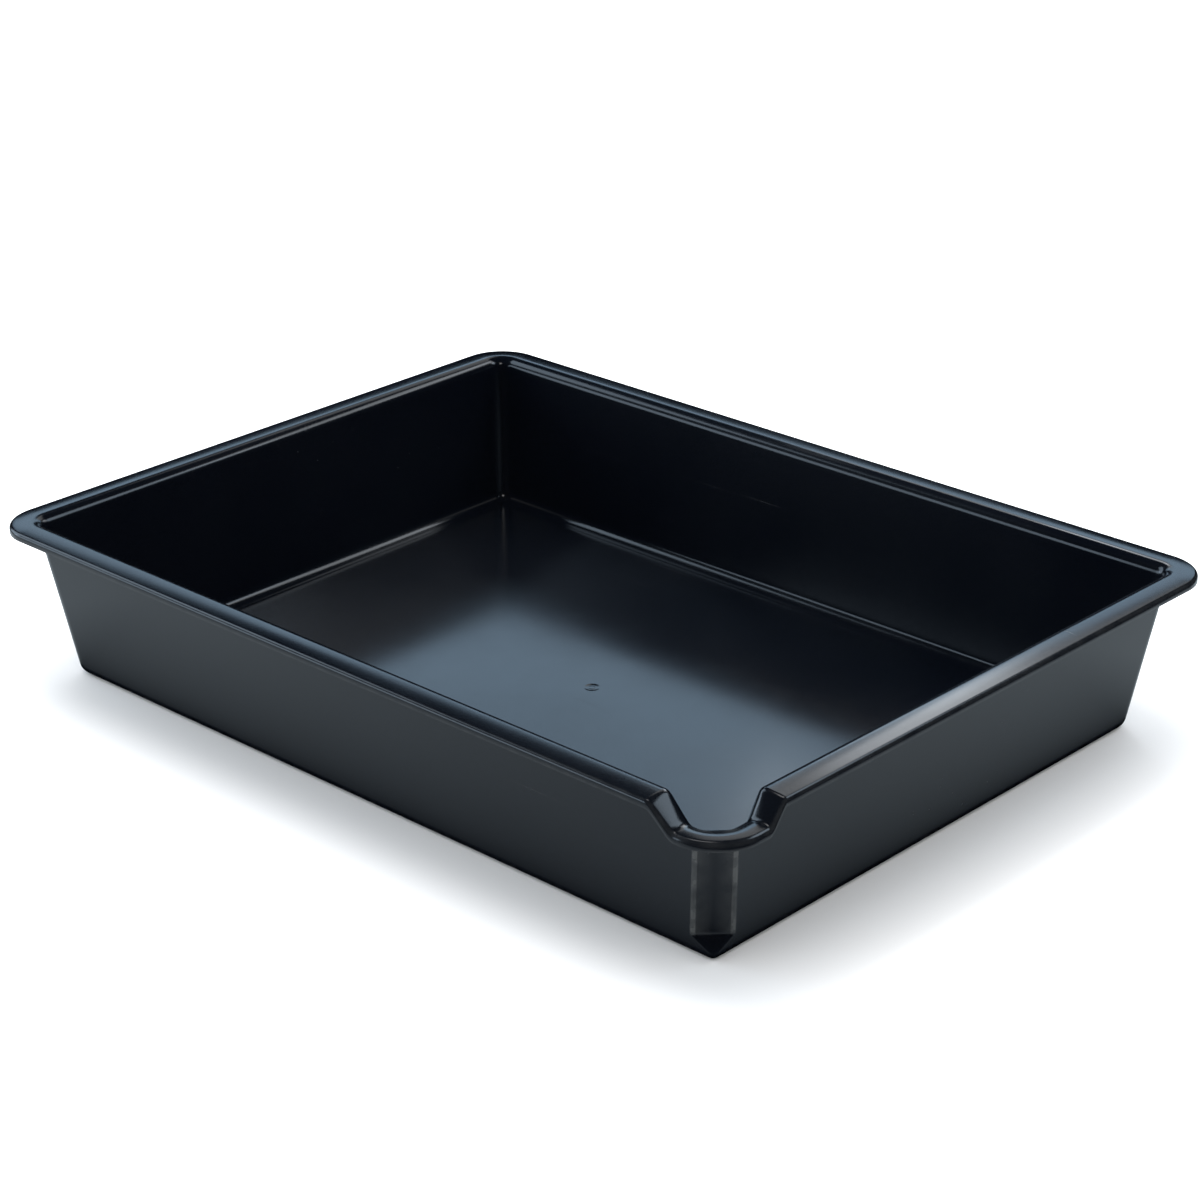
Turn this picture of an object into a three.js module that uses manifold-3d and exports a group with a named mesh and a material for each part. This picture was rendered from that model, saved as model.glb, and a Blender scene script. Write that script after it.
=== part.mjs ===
// Paint roller tray: one injection-moulded sheet of black polypropylene, 2 mm thick, that runs from
// the flat floor up four leaning walls to a turned-out rim with a turned-down lip. One corner of the
// rim dips to make a pouring spout, and the upright corner below it is flattened. Millimetres, +Z up,
// origin in the middle of the underside. X runs along the long sides and the spout is at the (+X, -Y)
// corner.
import * as THREE from 'three';
import * as BufferGeometryUtils from 'three/addons/utils/BufferGeometryUtils.js';
import Module from 'manifold-3d';

// Overall size, measured over the rim.
const LENGTH = 360;
const WIDTH = 270;
const HEIGHT = 62;
const SHEET = 2;                 // moulded thickness of floor, walls and rim

// Walls. An offset is measured outwards from the edge of the rim, so everything inside it is negative.
const BASE_INSET = 19.2;         // rim edge to the line where the outer wall would meet the ground
const WALL_LEAN = 9.2;           // how far a wall leans out over the full height
const CORNER = { wall: 7.5, foot: 7.5 };  // outer plan radius of a corner's wall and of its foot
const SPOUT_CORNER = { wall: 10.5, foot: 3 };
const SPOUT_FLAT = 7.5;          // how much of the spout's wall radius belongs to a flat face across it
const FLAT_START = 7.5;          // height above which the flat face is full, below it runs to the foot
const BASE_FILLET = 4.5;         // outer edge between wall and underside
const FLOOR_FILLET = 5;          // inner edge between wall and floor
const FLOOR_CORNER = 4;          // smallest plan radius where two floor fillets meet
const BASE_CORNER = 1.5;         // smallest plan radius of the underside
const SMALLEST_BEND = 0.5;       // tightest edge in the mould

// Rim.
const RIM_CORNER = 18;           // radius of the rim's corners, seen from above
const RIM_BEND = 4.5;            // radius of the top surface where the wall turns out
const RIM_SLOPE = THREE.MathUtils.degToRad(8);  // fall of the rim's top where it meets the lip
const LIP_BEND = 1.5;            // radius of the top surface where the rim turns down
const LIP_DROP = 3.5;            // rim top to the lower edge of the lip
const LIP_CHAMFER = 0.3;

// Spout. Distances along a side are measured from the point where the two rim edges would cross.
const SPOUT_DROP = 8;
const SPOUT_BEND = 10;           // the wall turns out more gently at the mouth of the spout
const SPOUT_LIP_BEND = 2;
const LONG_SIDE_RAMP = { start: 31.8, end: 19.3 };
const SHORT_SIDE_RAMP = { start: 31.1, end: 22.9 };
const RAMP_EASE = 0.25;          // share of a ramp's length that is rounded at each end
const SPOUT_REACH = 45;          // beyond this distance a side is straight and level

// Gate mark, where the plastic entered the mould: a nub in a shallow round recess.
const GATE = { x: -3, y: 3, recess: 3.3, depth: 0.4, nub: 1.3, nubHeight: 0.3 };

// Fineness of the facets.
const CORNER_STEPS = 8;
const SPOUT_STEPS = 12;
const RAMP_STEPS = 9;
const SMALL_BEND_STEPS = 4;
const BEND_STEPS = 6;
const CROWN_STEPS = 3;
const GATE_SIDES = 24;

const LEAN_ANGLE = Math.atan(WALL_LEAN / HEIGHT);
const outerWall = (z) => -BASE_INSET + Math.tan(LEAN_ANGLE) * z;
const innerWall = (z) => outerWall(z) - SHEET / Math.cos(LEAN_ANGLE);

// Points on an arc in the (offset, height) plane, the angle measured from +offset towards +height.
function arc(centre, radius, from, to, steps) {
  const points = [];
  for (let i = 0; i <= steps; i += 1) {
    const angle = from + ((to - from) * i) / steps;
    points.push({ u: centre.u + radius * Math.cos(angle), z: centre.z + radius * Math.sin(angle) });
  }
  return points;
}

// 0 before a ramp starts, 1 after it ends, straight in between with a rounded bend at each end.
function rampShare(distance, ramp) {
  const t = THREE.MathUtils.clamp((ramp.start - distance) / (ramp.start - ramp.end), 0, 1);
  const bend = 2 * RAMP_EASE * (1 - RAMP_EASE);
  if (t < RAMP_EASE) return (t * t) / bend;
  if (t > 1 - RAMP_EASE) return 1 - ((1 - t) * (1 - t)) / bend;
  return (t - RAMP_EASE / 2) / (1 - RAMP_EASE);
}

// The plan radius of a corner at one offset: the walls keep theirs, and the rim's grows to its edge.
const cornerRadius = (u, wallRadius) => Math.max(wallRadius, RIM_CORNER + u);

// Centres and radii of the rim's curves: the bend out of the wall, the shallow crown, the bend down
// into the lip, and the tight bend on the inside of the lip.
function rimCurves({ top, bend, lipBend }) {
  const rim = { u: innerWall(top - bend) + bend / Math.cos(LEAN_ANGLE), z: top - bend };
  const crownRadius = (-lipBend - rim.u) / Math.sin(RIM_SLOPE) + lipBend;
  const crown = { u: rim.u, z: top - crownRadius };
  const lip = { u: -lipBend, z: crown.z + (crownRadius - lipBend) * Math.cos(RIM_SLOPE) };
  const innerReach = crownRadius - SHEET - SMALLEST_BEND;
  const innerLip = { u: -SHEET - SMALLEST_BEND, z: 0 };
  const innerSlope = Math.asin((innerLip.u - rim.u) / innerReach);
  innerLip.z = crown.z + innerReach * Math.cos(innerSlope);
  return { rim, crown, crownRadius, lip, innerLip, innerSlope };
}

// Upper skin of the section, from the floor over the rim to the edge of the lip. Each point gets the
// plan radius r of its corner, and how much of that radius belongs to a flat face across the corner.
function upperSkin(shape, corner) {
  const lean = LEAN_ANGLE;
  const { bend, lipBend, flat } = shape;
  const curves = rimCurves(shape);
  const floorCentre = {
    u: innerWall(SHEET + FLOOR_FILLET) - FLOOR_FILLET / Math.cos(lean),
    z: SHEET + FLOOR_FILLET,
  };
  const slopeEnd = Math.PI / 2 - RIM_SLOPE;
  const floor = arc(floorCentre, FLOOR_FILLET, -Math.PI / 2, -lean, SMALL_BEND_STEPS);
  const rim = arc(curves.rim, bend, Math.PI - lean, Math.PI / 2, BEND_STEPS);
  const crown = arc(curves.crown, curves.crownRadius, Math.PI / 2, slopeEnd, CROWN_STEPS);
  const lip = arc(curves.lip, lipBend, slopeEnd, 0, SMALL_BEND_STEPS);
  for (const p of floor) {
    const inset = innerWall(p.z) - p.u;
    p.r = Math.max(FLOOR_CORNER, corner.foot - SHEET - inset);
  }
  const wall = { u: innerWall(FLAT_START), z: FLAT_START, flat };
  rim.forEach((p, i) => {
    p.flat = flat * (1 - i / BEND_STEPS);
  });
  const turned = [wall, ...rim, ...crown.slice(1, -1), ...lip];
  for (const p of turned) p.r = cornerRadius(p.u, corner.wall - SHEET);
  return [...floor, ...turned];
}

// Lower skin of the section, from the edge of the lip under the rim and down to the underside.
function lowerSkin(shape, corner) {
  const lean = LEAN_ANGLE;
  const { top, bend, flat } = shape;
  const edge = top - LIP_DROP;
  const curves = rimCurves(shape);
  const baseCentre = { u: outerWall(BASE_FILLET) - BASE_FILLET / Math.cos(lean), z: BASE_FILLET };
  const slopeEnd = Math.PI / 2 - curves.innerSlope;
  const crownRadius = curves.crownRadius - SHEET;
  const lip = [
    { u: 0, z: edge + LIP_CHAMFER / 2 },
    { u: -LIP_CHAMFER, z: edge },
    { u: -SHEET + LIP_CHAMFER, z: edge },
    { u: -SHEET, z: edge + LIP_CHAMFER / 2 },
    ...arc(curves.innerLip, SMALLEST_BEND, 0, slopeEnd, 2),
  ];
  const crown = arc(curves.crown, crownRadius, slopeEnd, Math.PI / 2, CROWN_STEPS);
  const rim = arc(curves.rim, bend - SHEET, Math.PI / 2, Math.PI - lean, SMALL_BEND_STEPS);
  const base = arc(baseCentre, BASE_FILLET, -lean, -Math.PI / 2, SMALL_BEND_STEPS);
  rim.forEach((p, i) => {
    p.flat = flat * (i / SMALL_BEND_STEPS);
  });
  const wall = { u: outerWall(FLAT_START), z: FLAT_START, flat };
  const turned = [...lip, ...crown.slice(1, -1), ...rim, wall];
  for (const p of turned) p.r = cornerRadius(p.u, corner.wall);
  for (const p of base) {
    const inset = outerWall(p.z) - p.u;
    p.r = Math.max(BASE_CORNER, corner.foot - inset);
  }
  return [...turned, ...base];
}

// One section. The share is 0 where the rim is level and 1 in the mouth of the spout.
function section(share, corner) {
  const shape = {
    top: HEIGHT - SPOUT_DROP * share,
    bend: THREE.MathUtils.lerp(RIM_BEND, SPOUT_BEND, share),
    lipBend: THREE.MathUtils.lerp(LIP_BEND, SPOUT_LIP_BEND, share),
    flat: SPOUT_FLAT * share,
  };
  return [...upperSkin(shape, corner), ...lowerSkin(shape, corner)];
}

// A station is one section at one place on the way round, as a list of [x, y, z] points. sx and sy
// say which corner it belongs to, and turn goes from 0 at the start of the corner to 1 at its end.
// A flattened corner is two small bends joined by a flat face, which starts when half is turned.
function cornerStation(sx, sy, fromAngle, turn, share, corner) {
  const angle = fromAngle + (Math.PI / 2) * turn;
  const across = (Math.sign(turn - 0.5) + 1) / 2;
  const sideX = (1 - across) * Math.cos(fromAngle) - across * Math.sin(fromAngle);
  const sideY = (1 - across) * Math.sin(fromAngle) + across * Math.cos(fromAngle);
  return section(share, corner).map(({ u, z, r, flat = 0 }) => [
    sx * (LENGTH / 2 + u - r) + (r - flat) * Math.cos(angle) + flat * sideX,
    sy * (WIDTH / 2 + u - r) + (r - flat) * Math.sin(angle) + flat * sideY,
    z,
  ]);
}

// Stations along the side next to the spout. Where the rim is `distance` from the crossing point of
// the rim edges, the lower rings are spread out so that none runs past the start of its own corner.
function rampStation(onLongSide, distance, ramp) {
  const share = rampShare(distance, ramp);
  const along = (distance - RIM_CORNER) / (SPOUT_REACH - RIM_CORNER);
  return section(share, SPOUT_CORNER).map(({ u, z, r }) => {
    const cornerStart = r - u;
    const d = cornerStart + (SPOUT_REACH - cornerStart) * along;
    if (onLongSide) return [LENGTH / 2 - d, -WIDTH / 2 - u, z];
    return [LENGTH / 2 + u, -WIDTH / 2 + d, z];
  });
}

function rampStations(onLongSide, ramp) {
  const distances = [SPOUT_REACH];
  for (let i = 0; i <= RAMP_STEPS; i += 1) {
    distances.push(ramp.start + ((ramp.end - ramp.start) * i) / RAMP_STEPS);
  }
  const stations = distances.map((distance) => rampStation(onLongSide, distance, ramp));
  return onLongSide ? stations : stations.reverse();
}

function cornerStations(sx, sy, fromAngle, share, corner, steps) {
  const stations = [];
  for (let i = 0; i <= steps; i += 1) {
    stations.push(cornerStation(sx, sy, fromAngle, i / steps, share, corner));
  }
  return stations;
}

// All stations, anticlockwise seen from above.
function allStations() {
  return [
    ...rampStations(true, LONG_SIDE_RAMP),
    ...cornerStations(1, -1, -Math.PI / 2, 1, SPOUT_CORNER, SPOUT_STEPS),
    ...rampStations(false, SHORT_SIDE_RAMP),
    ...cornerStations(1, 1, 0, 0, CORNER, CORNER_STEPS),
    ...cornerStations(-1, 1, Math.PI / 2, 0, CORNER, CORNER_STEPS),
    ...cornerStations(-1, -1, Math.PI, 0, CORNER, CORNER_STEPS),
  ];
}

// One closed skin: the floor, the rings of every station, and the underside.
function trayShell() {
  const stations = allStations();
  const count = stations.length;
  const rings = stations[0].length;
  const positions = stations.flat(2);
  const floorCentre = positions.length / 3;
  positions.push(0, 0, SHEET);
  const baseCentre = floorCentre + 1;
  positions.push(0, 0, 0);
  const index = [];
  for (let j = 0; j < count; j += 1) {
    const here = j * rings;
    const next = ((j + 1) % count) * rings;
    index.push(floorCentre, here, next);
    for (let i = 0; i < rings - 1; i += 1) {
      index.push(here + i, here + i + 1, next + i + 1);
      index.push(here + i, next + i + 1, next + i);
    }
    index.push(baseCentre, next + rings - 1, here + rings - 1);
  }
  const geometry = new THREE.BufferGeometry();
  geometry.setAttribute('position', new THREE.Float32BufferAttribute(positions, 3));
  geometry.setIndex(index);
  return geometry;
}

function disc(radius, zLow, zHigh) {
  const geometry = new THREE.CylinderGeometry(radius, radius, zHigh - zLow, GATE_SIDES);
  geometry.rotateX(Math.PI / 2);
  geometry.translate(GATE.x, GATE.y, (zLow + zHigh) / 2);
  return geometry;
}

const wasm = await Module();
wasm.setup();

function toSolid(geometry) {
  const bare = geometry.clone();
  bare.deleteAttribute('normal');
  bare.deleteAttribute('uv');
  const merged = BufferGeometryUtils.mergeVertices(bare);
  return new wasm.Manifold(new wasm.Mesh({
    numProp: 3,
    vertProperties: new Float32Array(merged.getAttribute('position').array),
    triVerts: new Uint32Array(merged.getIndex().array),
  }));
}

function toGeometry(solid) {
  const { vertProperties, triVerts } = solid.getMesh();
  const geometry = new THREE.BufferGeometry();
  geometry.setAttribute('position', new THREE.Float32BufferAttribute(vertProperties, 3));
  geometry.setIndex(new THREE.Uint32BufferAttribute(triVerts, 1));
  geometry.computeVertexNormals();
  return geometry;
}

function trayGeometry() {
  const recess = toSolid(disc(GATE.recess, SHEET - GATE.depth, SHEET + 1));
  const nubTop = SHEET - GATE.depth + GATE.nubHeight;
  const nub = toSolid(disc(GATE.nub, SHEET - 2 * GATE.depth, nubTop));
  return toGeometry(toSolid(trayShell()).subtract(recess).add(nub));
}

const blackPlastic = new THREE.MeshStandardMaterial({ color: 0x15181b, roughness: 0.32, metalness: 0 });

const tray = new THREE.Mesh(trayGeometry(), blackPlastic);
tray.name = 'tray';

const object = new THREE.Group();
object.add(tray);

export default object;
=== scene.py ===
# Looks for the paint roller tray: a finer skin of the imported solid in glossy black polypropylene, on white
# paper in a soft white studio. Metres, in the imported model's frame.
import math

import bpy
from mathutils import Matrix, Vector
from mathutils.geometry import tessellate_polygon


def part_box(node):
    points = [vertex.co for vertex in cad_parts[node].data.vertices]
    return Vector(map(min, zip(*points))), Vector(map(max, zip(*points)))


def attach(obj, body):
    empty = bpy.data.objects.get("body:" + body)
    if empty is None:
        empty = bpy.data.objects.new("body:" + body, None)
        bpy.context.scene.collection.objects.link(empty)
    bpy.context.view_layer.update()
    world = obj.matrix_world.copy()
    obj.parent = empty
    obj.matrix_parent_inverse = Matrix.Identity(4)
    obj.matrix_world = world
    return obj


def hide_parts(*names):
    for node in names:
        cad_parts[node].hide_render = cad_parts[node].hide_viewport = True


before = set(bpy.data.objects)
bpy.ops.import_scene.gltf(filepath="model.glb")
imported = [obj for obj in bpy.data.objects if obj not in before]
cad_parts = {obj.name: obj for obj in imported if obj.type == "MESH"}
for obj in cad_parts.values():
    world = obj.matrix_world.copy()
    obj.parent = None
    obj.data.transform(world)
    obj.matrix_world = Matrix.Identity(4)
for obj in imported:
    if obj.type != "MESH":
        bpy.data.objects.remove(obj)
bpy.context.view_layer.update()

MM = 0.001
QUARTER = math.pi / 2

# The tray's own dimensions, in millimetres, the same as in the CAD source but for the gate mark's depth.
SHEET = 2.0
BASE_INSET = 19.2
WALL_LEAN = 9.2
CORNER = (7.5, 7.5)             # outer plan radius of a corner's wall and of its foot
SPOUT_CORNER = (10.5, 3.0)
SPOUT_FLAT = 7.5
FLAT_START = 7.5
BASE_FILLET = 4.5
FLOOR_FILLET = 5.0
FLOOR_CORNER = 4.0
BASE_CORNER = 1.5
SMALLEST_BEND = 0.5
RIM_CORNER = 18.0
RIM_BEND = 4.5
LIP_BEND = 1.5
RIM_SLOPE = math.radians(8)
LIP_DROP = 3.5
LIP_CHAMFER = 0.3
SPOUT_DROP = 8.0
SPOUT_BEND = 10.0
SPOUT_LIP_BEND = 2.0
LONG_SIDE_RAMP = (31.8, 19.3)
SHORT_SIDE_RAMP = (31.1, 22.9)
RAMP_EASE = 0.25
SPOUT_REACH = 45.0

# The gate mark: its centre, and rings of radius and depth from its rim to its middle.
GATE = (-3.0, 3.0)
GATE_PROFILE = ((3.4, 0.0), (3.0, 0.03), (2.5, 0.1), (2.0, 0.15), (1.5, 0.16), (1.2, 0.12), (0.9, 0.08))

low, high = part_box("tray")
LENGTH = (high.x - low.x) / MM
WIDTH = (high.y - low.y) / MM
HEIGHT = (high.z - low.z) / MM
LEAN_ANGLE = math.atan(WALL_LEAN / HEIGHT)

# Fineness of the skin.
CORNER_STEPS = 28
SPOUT_STEPS = 36
RAMP_STEPS = 28
BEND_STEPS = 12
GATE_SIDES = 24

# How rubbed an edge is, from 0 to 1. The spout corner's walls get a painted highlight in the same lighter
# grey, as two upright bands where its flat face meets its small bends.
LIP_WEAR = 0.2
LIP_EDGE_WEAR = 0.3
FOOT_WEAR = 0.1
SPOUT_PAINTED_HIGHLIGHT = 1.7
UNWORN_UNHIGHLIT = -1

# Half the length and half the width of the tray's foot on the floor, in metres.
FOOT_HALF_LENGTH = 0.1605
FOOT_HALF_WIDTH = 0.1155


def outer_wall(z):
    """Offset of the wall's outer face at height z."""
    return -BASE_INSET + math.tan(LEAN_ANGLE) * z


def inner_wall(z):
    """Offset of the wall's inner face at height z."""
    return outer_wall(z) - SHEET / math.cos(LEAN_ANGLE)


def arc(u, z, radius, start, end):
    """Points on an arc about (u, z): u is the offset outwards from the rim's edge, z the height."""
    angles = [start + (end - start) * i / BEND_STEPS for i in range(BEND_STEPS + 1)]
    return [(u + radius * math.cos(a), z + radius * math.sin(a)) for a in angles]


def ramp_share(distance, ramp):
    """0 before a ramp starts, 1 after it ends, with a rounded bend at each end."""
    start, end = ramp
    t = min(max((start - distance) / (start - end), 0.0), 1.0)
    bend = 2 * RAMP_EASE * (1 - RAMP_EASE)
    if t < RAMP_EASE:
        return t * t / bend
    if t > 1 - RAMP_EASE:
        return 1 - (1 - t) * (1 - t) / bend
    return (t - RAMP_EASE / 2) / (1 - RAMP_EASE)


class Rim:
    """Centres, radii and angles of the rim's curves, where the rim has this share of the spout's dip."""

    def __init__(self, share):
        self.top = HEIGHT - SPOUT_DROP * share
        self.bend = RIM_BEND + (SPOUT_BEND - RIM_BEND) * share
        self.lip_bend = LIP_BEND + (SPOUT_LIP_BEND - LIP_BEND) * share
        self.edge = self.top - LIP_DROP
        self.u = inner_wall(self.top - self.bend) + self.bend / math.cos(LEAN_ANGLE)
        self.slope_end = QUARTER - RIM_SLOPE
        self.crown = (-self.lip_bend - self.u) / math.sin(RIM_SLOPE) + self.lip_bend
        self.lip_z = self.top - self.crown + (self.crown - self.lip_bend) * math.cos(RIM_SLOPE)
        self.inner_u = -SHEET - SMALLEST_BEND
        inner_reach = self.crown - SHEET - SMALLEST_BEND
        inner_slope = math.asin((self.inner_u - self.u) / inner_reach)
        self.inner_z = self.top - self.crown + inner_reach * math.cos(inner_slope)
        self.inner_end = QUARTER - inner_slope


def upper_skin(rim, flat, corner):
    """The floor's fillet, the inner wall, the crowned rim and the bend down into the lip."""
    wall_radius, foot_radius = corner
    smallest = wall_radius - SHEET
    floor_u = inner_wall(SHEET + FLOOR_FILLET) - FLOOR_FILLET / math.cos(LEAN_ANGLE)
    points = []
    for u, z in arc(floor_u, SHEET + FLOOR_FILLET, FLOOR_FILLET, -QUARTER, -LEAN_ANGLE):
        r = max(FLOOR_CORNER, foot_radius - SHEET - (inner_wall(z) - u))
        points.append((u, z, r, 0, 0))
    points.append((inner_wall(FLAT_START), FLAT_START, smallest, flat, 0))
    for i, (u, z) in enumerate(arc(rim.u, rim.top - rim.bend, rim.bend, math.pi - LEAN_ANGLE, QUARTER)):
        points.append((u, z, max(smallest, RIM_CORNER + u), flat * (1 - i / BEND_STEPS), 0))
    for u, z in arc(rim.u, rim.top - rim.crown, rim.crown, QUARTER, rim.slope_end)[1:-1]:
        points.append((u, z, max(smallest, RIM_CORNER + u), 0, 0))
    for i, (u, z) in enumerate(arc(-rim.lip_bend, rim.lip_z, rim.lip_bend, rim.slope_end, 0)):
        points.append((u, z, RIM_CORNER + u, 0, LIP_WEAR * math.sin(math.pi * i / BEND_STEPS)))
    return points


def lip_edge(rim):
    """The chamfered lower edge of the lip."""
    chamfer_z = rim.edge + LIP_CHAMFER / 2
    points = [(0, chamfer_z), (-LIP_CHAMFER, rim.edge), (LIP_CHAMFER - SHEET, rim.edge), (-SHEET, chamfer_z)]
    return [(u, z, RIM_CORNER + u, 0, LIP_EDGE_WEAR) for u, z in points]


def lower_skin(rim, flat, corner):
    """The underside of the rim, the outer wall and the fillet down to the foot."""
    wall_radius, foot_radius = corner
    base_u = outer_wall(BASE_FILLET) - BASE_FILLET / math.cos(LEAN_ANGLE)
    under_rim = arc(rim.inner_u, rim.inner_z, SMALLEST_BEND, 0, rim.inner_end)
    under_rim += arc(rim.u, rim.top - rim.crown, rim.crown - SHEET, rim.inner_end, QUARTER)[1:-1]
    points = [(u, z, max(wall_radius, RIM_CORNER + u), 0, 0) for u, z in under_rim]
    under_bend = arc(rim.u, rim.top - rim.bend, rim.bend - SHEET, QUARTER, math.pi - LEAN_ANGLE)
    for i, (u, z) in enumerate(under_bend):
        points.append((u, z, max(wall_radius, RIM_CORNER + u), flat * i / BEND_STEPS, 0))
    points.append((outer_wall(FLAT_START + 2), FLAT_START + 2, wall_radius, flat, 0))
    points.append((outer_wall(FLAT_START), FLAT_START, wall_radius, flat, UNWORN_UNHIGHLIT))
    for i, (u, z) in enumerate(arc(base_u, BASE_FILLET, BASE_FILLET, -LEAN_ANGLE, -QUARTER)):
        r = max(BASE_CORNER, foot_radius - (outer_wall(z) - u))
        points.append((u, z, r, 0, FOOT_WEAR * math.sin(math.pi * i / BEND_STEPS)))
    return points


def section(share, corner):
    """One section from the floor over the rim to the underside, as (offset, height, plan radius,
    flat part of that radius, wear)."""
    rim = Rim(share)
    flat = SPOUT_FLAT * share
    return upper_skin(rim, flat, corner) + lip_edge(rim) + lower_skin(rim, flat, corner)


def flat_edge_highlight(flat, turn):
    """Painted highlight where a flat face ends in a small bend, most at a quarter and three quarters of the
    turn.
    """
    return min(1, SPOUT_PAINTED_HIGHLIGHT * flat / SPOUT_FLAT * abs(math.sin(2 * math.pi * turn)))


def corner_stations(sx, sy, start, share, corner, steps):
    """Sections round one corner: a plain arc, or two small bends joined by a flat face."""
    stations = []
    for i in range(steps + 1):
        turn = i / steps
        angle = start + QUARTER * turn
        side = start + QUARTER * (turn > 0.5)
        if turn == 0.5:
            side_x = (math.cos(start) - math.sin(start)) / 2
            side_y = (math.sin(start) + math.cos(start)) / 2
        else:
            side_x, side_y = math.cos(side), math.sin(side)
        # Points that aren't rubbed take the painted highlight of the spout corner's bends; the marked point
        # takes neither.
        stations.append([
            (sx * (LENGTH / 2 + u - r) + (r - flat) * math.cos(angle) + flat * side_x,
             sy * (WIDTH / 2 + u - r) + (r - flat) * math.sin(angle) + flat * side_y,
             z, wear_and_highlight or flat_edge_highlight(flat, turn))
            for u, z, r, flat, wear_and_highlight in section(share, corner)
        ])
    return stations


def ramp_station(on_long_side, distance, ramp):
    """A section of the side beside the spout, its lower rings spread so that none passes its corner."""
    along = (distance - RIM_CORNER) / (SPOUT_REACH - RIM_CORNER)
    station = []
    for u, z, r, flat, wear_and_highlight in section(ramp_share(distance, ramp), SPOUT_CORNER):
        d = r - u + (SPOUT_REACH - r + u) * along
        if on_long_side:
            station.append((LENGTH / 2 - d, -WIDTH / 2 - u, z, wear_and_highlight))
        else:
            station.append((LENGTH / 2 + u, -WIDTH / 2 + d, z, wear_and_highlight))
    return station


def ramp_stations(on_long_side, ramp):
    """Sections along one side of the spout, from the straight rim down to the dip or back up."""
    start, end = ramp
    steps = [start + (end - start) * i / RAMP_STEPS for i in range(RAMP_STEPS + 1)]
    stations = [ramp_station(on_long_side, d, ramp) for d in [SPOUT_REACH] + steps]
    return stations if on_long_side else stations[::-1]


def tray_stations():
    """Sections once round the tray, from the long side's ramp on."""
    return (
        ramp_stations(True, LONG_SIDE_RAMP)
        + corner_stations(1, -1, -QUARTER, 1, SPOUT_CORNER, SPOUT_STEPS)
        + ramp_stations(False, SHORT_SIDE_RAMP)
        + corner_stations(1, 1, 0, 0, CORNER, CORNER_STEPS)
        + corner_stations(-1, 1, QUARTER, 0, CORNER, CORNER_STEPS)
        + corner_stations(-1, -1, 2 * QUARTER, 0, CORNER, CORNER_STEPS)
    )


def turn_gate_mark(points, faces):
    """Adds the round gate mark's rings to points and faces, and returns its outermost ring."""
    rings = []
    for radius, depth in GATE_PROFILE:
        rings.append(range(len(points), len(points) + GATE_SIDES))
        for j in range(GATE_SIDES):
            angle = 2 * math.pi * j / GATE_SIDES
            place = (GATE[0] + radius * math.cos(angle), GATE[1] + radius * math.sin(angle), SHEET - depth)
            points.append(Vector(place) * MM)
    for outer, inner in zip(rings, rings[1:]):
        for j in range(GATE_SIDES):
            k = (j + 1) % GATE_SIDES
            faces.append([outer[j], outer[k], inner[k], inner[j]])
    faces.append(list(rings[-1]))
    return list(rings[0])


def floor_faces(points, outline, hole):
    """Triangles that face up and fill the floor between its outline and the gate mark."""
    border = outline + hole
    faces = []
    for triangle in tessellate_polygon([[points[i] for i in outline], [points[i] for i in hole]]):
        corners = [border[i] for i in triangle]
        a, b, c = (points[i] for i in corners)
        if (b - a).cross(c - a).z < 0:
            corners.reverse()
        faces.append(corners)
    return faces


def tray_mesh():
    """The whole skin of the tray as one closed mesh, with its rubbed edges and painted highlight at every
    point.
    """
    stations = tray_stations()
    rings = len(stations[0])
    count = len(stations)
    points = [Vector(p[:3]) * MM for station in stations for p in station]
    wear_and_highlight = [max(p[3], 0) for station in stations for p in station]
    underside = [j * rings + rings - 1 for j in reversed(range(count))]
    faces = [underside]
    for j in range(count):
        here = j * rings
        there = (j + 1) % count * rings
        for i in range(rings - 1):
            faces.append([here + i, here + i + 1, there + i + 1, there + i])
    outline = [j * rings for j in range(count)]
    hole = turn_gate_mark(points, faces)
    faces += floor_faces(points, outline, hole)
    wear_and_highlight += [0] * (len(points) - len(wear_and_highlight))

    mesh = bpy.data.meshes.new("tray_skin")
    mesh.from_pydata(points, [], faces)
    mesh.attributes.new("wear_and_highlight", "FLOAT", "POINT").data.foreach_set("value", wear_and_highlight)
    for polygon in mesh.polygons:
        polygon.use_smooth = True
    return mesh


class Graph:
    """Short ways to add math nodes to one node tree."""

    def __init__(self, tree):
        self.tree = tree

    def node(self, kind, **inputs):
        """A new node with its inputs set, spaces in their names written as underscores."""
        made = self.tree.nodes.new(kind)
        for name, value in inputs.items():
            self.put(made.inputs[name.replace("_", " ")], value)
        return made

    def put(self, socket, value):
        """Gives a socket a number or colour, or links another socket to it."""
        if isinstance(value, bpy.types.NodeSocket):
            self.tree.links.new(value, socket)
        else:
            socket.default_value = value

    def math(self, operation, *values):
        """The result of one math operation on numbers or sockets."""
        made = self.tree.nodes.new("ShaderNodeMath")
        made.operation = operation
        for socket, value in zip(made.inputs, values):
            self.put(socket, value)
        return made.outputs[0]

    def ramp(self, value, start, end, low=0.0, high=1.0):
        """Smooth step of value from low at start to high at end."""
        made = self.tree.nodes.new("ShaderNodeMapRange")
        made.interpolation_type = "SMOOTHSTEP"
        settings = {"Value": value, "From Min": start, "From Max": end, "To Min": low, "To Max": high}
        for name, setting in settings.items():
            self.put(made.inputs[name], setting)
        return made.outputs["Result"]

    def mix(self, share, first, second):
        """A colour that goes from first to second as share goes from 0 to 1."""
        made = self.tree.nodes.new("ShaderNodeMix")
        made.data_type = "RGBA"
        colours = [socket for socket in made.inputs if socket.type == "RGBA"]
        self.put(made.inputs[0], share)
        self.put(colours[0], first)
        self.put(colours[1], second)
        return [socket for socket in made.outputs if socket.type == "RGBA"][0]


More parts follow.
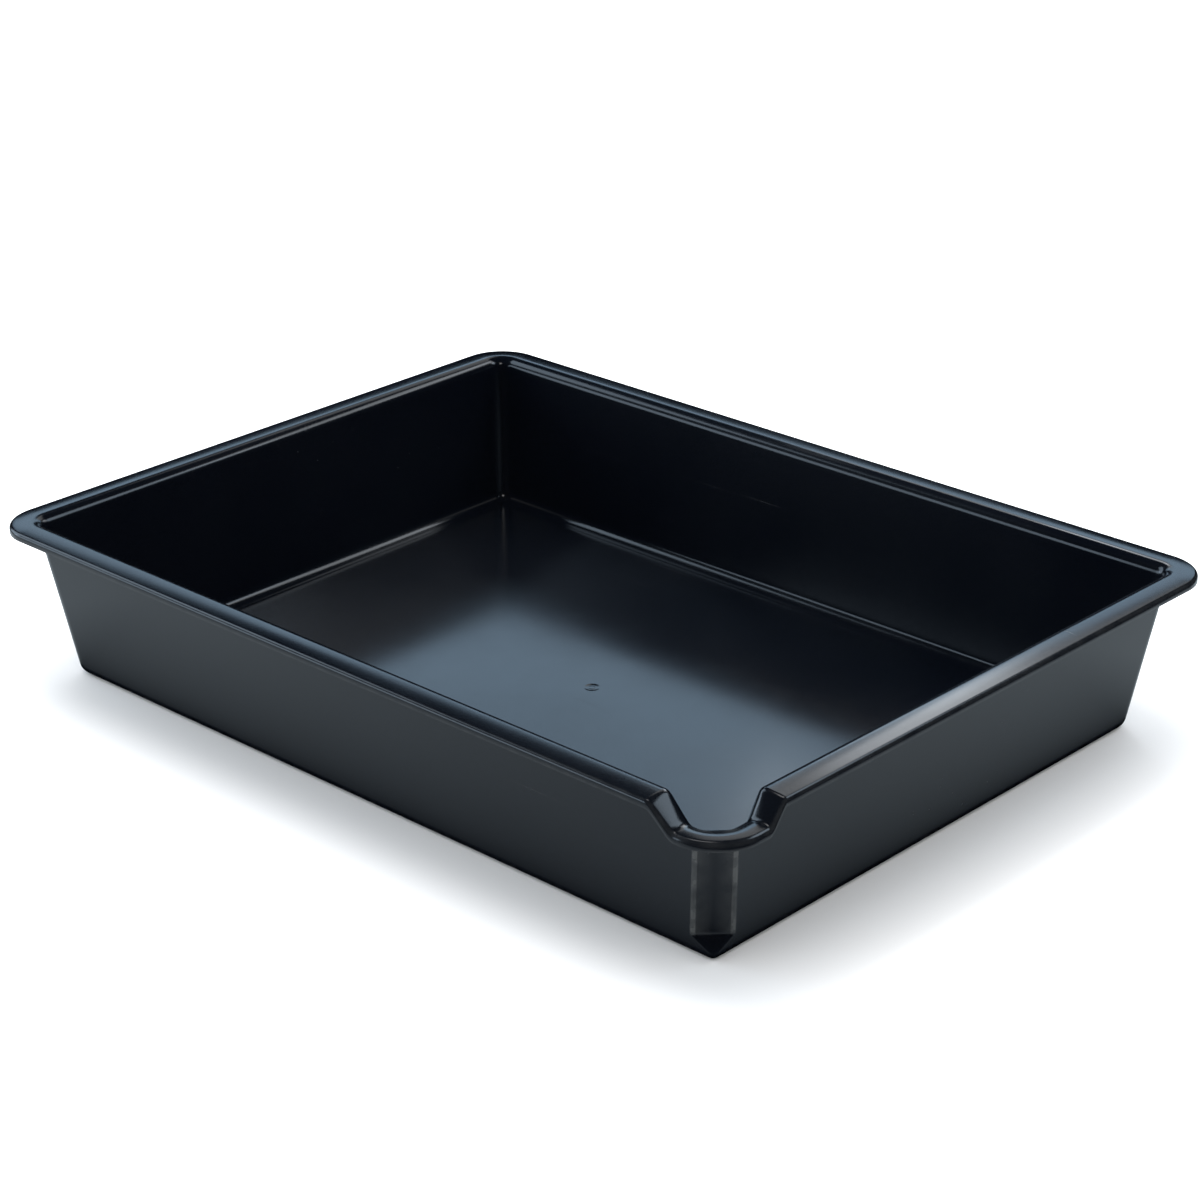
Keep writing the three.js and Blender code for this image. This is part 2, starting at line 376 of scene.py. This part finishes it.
def black_plastic():
    """Black polypropylene: nearly black with a blue cast, glossy, with flow marks, scuffs, a fine moulded
    grain, rubbed edges and a painted highlight on the spout corner's walls."""
    material = bpy.data.materials.new("satin_black_plastic")
    material.use_nodes = True
    g = Graph(material.node_tree)
    shader = material.node_tree.nodes["Principled BSDF"]
    place = g.node("ShaderNodeTexCoord").outputs["Object"]
    flow = g.node("ShaderNodeTexNoise", Vector=place, Scale=11.0, Detail=3.0).outputs["Fac"]
    mottle = g.node("ShaderNodeTexNoise", Vector=place, Scale=170.0, Detail=4.0).outputs["Fac"]
    grain = g.node("ShaderNodeTexNoise", Vector=place, Scale=1500.0, Detail=2.0).outputs["Fac"]
    along = g.node("ShaderNodeMapping", Vector=place, Rotation=(0.3, 0.2, 0.7), Scale=(9, 420, 420))
    along = along.outputs["Vector"]
    lines = g.node("ShaderNodeTexNoise", Vector=along, Scale=1.0, Detail=2.0).outputs["Fac"]
    scuffs = g.math("MULTIPLY", g.ramp(lines, 0.68, 0.76), g.ramp(flow, 0.45, 0.6))
    # The point attribute holds rubbed edges and, on the spout corner's walls, a painted highlight; both turn
    # the plastic a lighter grey and rougher.
    edge = g.node("ShaderNodeAttribute")
    edge.attribute_name = "wear_and_highlight"
    rubbed_and_highlit = g.math("MULTIPLY", edge.outputs["Fac"], g.ramp(mottle, 0.3, 0.65, 0.35, 1))

    tone = g.mix(g.ramp(flow, 0.35, 0.65), (0.0013, 0.0021, 0.0042, 1), (0.0023, 0.0033, 0.0056, 1))
    tone = g.mix(g.math("MULTIPLY", mottle, 0.25), tone, (0.003, 0.0035, 0.0045, 1))
    tone = g.mix(rubbed_and_highlit, tone, (0.046, 0.049, 0.050, 1))
    tone = g.mix(g.math("MULTIPLY", scuffs, 0.10), tone, (0.05, 0.052, 0.055, 1))
    g.put(shader.inputs["Base Color"], tone)

    rough = g.math("ADD", g.ramp(flow, 0.3, 0.7, 0.12, 0.17), g.math("MULTIPLY", mottle, 0.03))
    rough = g.math("ADD", rough, g.math("MULTIPLY", rubbed_and_highlit, 0.12))
    rough = g.math("ADD", rough, g.math("MULTIPLY", scuffs, 0.10))
    g.put(shader.inputs["Roughness"], rough)
    shader.inputs["IOR"].default_value = 1.5

    warp = g.node("ShaderNodeBump", Height=flow, Strength=0.35, Distance=0.0003).outputs["Normal"]
    skin = g.node("ShaderNodeBump", Height=grain, Strength=0.3, Distance=0.00001, Normal=warp)
    g.put(shader.inputs["Normal"], skin.outputs["Normal"])
    return material


def add_tray():
    """The tray's skin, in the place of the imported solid."""
    tray = bpy.data.objects.new("tray_shell", tray_mesh())
    bpy.context.scene.collection.objects.link(tray)
    tray.data.materials.append(black_plastic())
    weighted = tray.modifiers.new("flat_faces_first", "WEIGHTED_NORMAL")
    weighted.weight = 100
    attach(tray, "root")
    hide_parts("tray")


def plane(name, half):
    """A level square sheet at the height of the ground, half its side in metres."""
    corners = [(-half, -half, 0), (half, -half, 0), (half, half, 0), (-half, half, 0)]
    mesh = bpy.data.meshes.new(name)
    mesh.from_pydata(corners, [], [(0, 1, 2, 3)])
    made = bpy.data.objects.new(name, mesh)
    bpy.context.scene.collection.objects.link(made)
    return made


def beside_tray(g):
    """Position on the floor, and the distance from the tray's foot."""
    place = g.node("ShaderNodeSeparateXYZ", Vector=g.node("ShaderNodeNewGeometry").outputs["Position"])
    x, y = place.outputs["X"], place.outputs["Y"]
    dx = g.math("MAXIMUM", g.math("SUBTRACT", g.math("ABSOLUTE", x), FOOT_HALF_LENGTH), 0)
    dy = g.math("MAXIMUM", g.math("SUBTRACT", g.math("ABSOLUTE", y), FOOT_HALF_WIDTH), 0)
    return x, y, g.math("SQRT", g.math("ADD", g.math("MULTIPLY", dx, dx), g.math("MULTIPLY", dy, dy)))


def add_floor():
    """White paper with painted light: it glows from 8 mm off the tray's foot, fully past 85 mm, so the
    tray's shadow fades fast and the far paper burns out to white.
    """
    floor = plane("floor", 6)
    floor.visible_glossy = False
    material = bpy.data.materials.new("white_floor")
    material.use_nodes = True
    g = Graph(material.node_tree)
    shader = material.node_tree.nodes["Principled BSDF"]
    shader.inputs["Base Color"].default_value = (0.8, 0.8, 0.8, 1)
    shader.inputs["Roughness"].default_value = 0.9
    shader.inputs["Specular IOR Level"].default_value = 0.0
    shader.inputs["Emission Color"].default_value = (1, 1, 1, 1)
    g.put(shader.inputs["Emission Strength"], g.ramp(beside_tray(g)[2], 0.008, 0.085, 0, 0.6))
    floor.data.materials.append(material)


def add_painted_floor_reflection():
    """A painted floor reflection: a glowing sheet that only the tray's gloss sees, in place of the floor,
    with painted shade at the tray's foot, brighter towards the back, and painted dark beyond the right-hand
    side and in front of the spout."""
    bounce = plane("bounce", 3)
    bounce.location.z = -0.0005
    for ray in ("camera", "diffuse", "transmission", "volume_scatter", "shadow"):
        setattr(bounce, "visible_" + ray, False)
    material = bpy.data.materials.new("bounce")
    material.use_nodes = True
    tree = material.node_tree
    tree.nodes.clear()
    g = Graph(tree)
    x, y, away = beside_tray(g)
    # Painted shade at the foot: no glow within 3 mm of it, rising over the next 4.5 cm.
    past_foot = g.math("MAXIMUM", g.math("SUBTRACT", away, 0.003), 0)
    clear = g.math("MINIMUM", g.math("DIVIDE", past_foot, 0.045), 1)
    foot = g.math("POWER", clear, 0.45)
    # Painted light brighter towards the back; painted dark past the right-hand side and in front of the
    # spout, and dimmer far from the tray.
    depth = g.math("SUBTRACT", g.math("MULTIPLY", y, 0.73), g.math("MULTIPLY", x, 0.68))
    back = g.ramp(depth, -0.22, 0.1, 0.42, 0.82)
    right = g.ramp(x, 0.226, 0.262, 1, 0.03)
    front = g.ramp(depth, -0.34, -0.25, 0.05, 1)
    far = g.ramp(away, 0.15, 0.4, 1, 0.25)
    light = g.math("MULTIPLY", g.math("MULTIPLY", foot, back), g.math("MULTIPLY", front, far))
    light = g.math("MULTIPLY", light, right)
    glow = g.node("ShaderNodeEmission", Color=(0.92, 1.07, 1.17, 1), Strength=light)
    g.put(g.node("ShaderNodeOutputMaterial").inputs["Surface"], glow.outputs[0])
    bounce.data.materials.append(material)


def add_camera():
    """A long lens above the spout's corner, turned a little about its own axis."""
    azimuth = math.radians(43.118)
    elevation = math.radians(23.938)
    roll = math.radians(-0.286)
    back = Vector((
        math.sin(azimuth) * math.cos(elevation),
        -math.cos(azimuth) * math.cos(elevation),
        math.sin(elevation),
    ))
    right = Vector((math.cos(azimuth), math.sin(azimuth), 0))
    up = right.cross(-back)
    place = back * 1.15286 + right * 0.00302 + up * 0.03609
    x = right * math.cos(roll) + up * math.sin(roll)
    y = up * math.cos(roll) - right * math.sin(roll)
    data = bpy.data.cameras.new("camera")
    data.sensor_width = 36
    data.lens = 92.924
    camera = bpy.data.objects.new("camera", data)
    camera.matrix_world = Matrix((
        (x.x, y.x, back.x, place.x),
        (x.y, y.y, back.y, place.y),
        (x.z, y.z, back.z, place.z),
        (0, 0, 0, 1),
    ))
    bpy.context.scene.collection.objects.link(camera)
    bpy.context.scene.camera = camera


def softbox(name, azimuth, elevation, distance, width, height, radiance, in_gloss=True):
    """A rectangular light aimed at the tray. Azimuth turns from +Y to +X, radiance is per channel."""
    a, e = math.radians(azimuth), math.radians(elevation)
    towards = Vector((math.sin(a) * math.cos(e), math.cos(a) * math.cos(e), math.sin(e)))
    data = bpy.data.lights.new(name, "AREA")
    data.shape = "RECTANGLE"
    data.size, data.size_y = width, height
    strongest = max(radiance)
    data.color = [c / strongest for c in radiance]
    data.energy = strongest * math.pi * width * height
    light = bpy.data.objects.new(name, data)
    light.location = towards * distance + Vector((0, 0, 0.03))
    light.rotation_euler = towards.to_track_quat("Z", "Y").to_euler()
    light.visible_glossy = in_gloss
    light.visible_camera = False
    bpy.context.scene.collection.objects.link(light)


def panel(name, place, target, width, height, radiance):
    """A softbox put at a place and turned to a target, both in metres."""
    towards = Vector(place) - Vector(target)
    azimuth = math.degrees(math.atan2(towards.x, towards.y))
    elevation = math.degrees(math.asin(towards.z / towards.length))
    softbox(name, azimuth, elevation, 1.0, width, height, radiance)
    bpy.data.objects[name].location = place


def add_world():
    """An even white room that lights the floor and that the gloss doesn't see."""
    world = bpy.data.worlds.new("white_room")
    bpy.context.scene.world = world
    world.use_nodes = True
    world.node_tree.nodes["Background"].inputs["Color"].default_value = (1, 1, 1, 1)
    world.node_tree.nodes["Background"].inputs["Strength"].default_value = 1.25
    world.cycles_visibility.glossy = False


add_camera()
add_world()
add_floor()
add_painted_floor_reflection()

# Soft light behind the tray, mostly for the floor inside it and for the rim.
softbox("back_low", -42, 25, 2.0, 1.7, 0.42, (0.95, 1.35, 1.76))
softbox("back_high", -24, 39.5, 2.0, 1.0, 0.6, (0.95, 0.98, 1.0))

# Cool light from the left, which the near left wall and the left ends of the rim reflect.
softbox("left_front", -106, 26, 2.0, 1.0, 1.6, (1.9, 2.4, 2.9))
softbox("left_low", -134, 8, 2.0, 1.4, 0.9, (1.9, 2.4, 2.9))

# The light that sets the shadow's side, kept out of the gloss.
softbox("key", -75, 66, 1.2, 0.8, 0.8, (3.4, 3.4, 3.4), in_gloss=False)

# Small panels close to the tray, for the bright lines in its bends and on its near rim.
panel("near_front", (0.072, -0.095, 0.331), (-0.158, 0.113, 0.005), 0.10, 0.10, (4.0, 4.0, 4.0))
panel("near_back", (0.0, 0.305, 0.33), (-0.16, 0, 0), 0.24, 0.10, (2.8, 3.0, 3.2))
panel("near_back_low", (-0.095, 0.305, 0.25), (-0.16, 0, 0), 0.22, 0.05, (1.1, 1.2, 1.3))
panel("near_right", (0.33, 0.30, 0.505), (0.155, -0.135, 0.058), 0.30, 0.22, (2.2, 2.7, 3.2))

add_tray()

view = bpy.context.scene.view_settings
view.view_transform = "Standard"
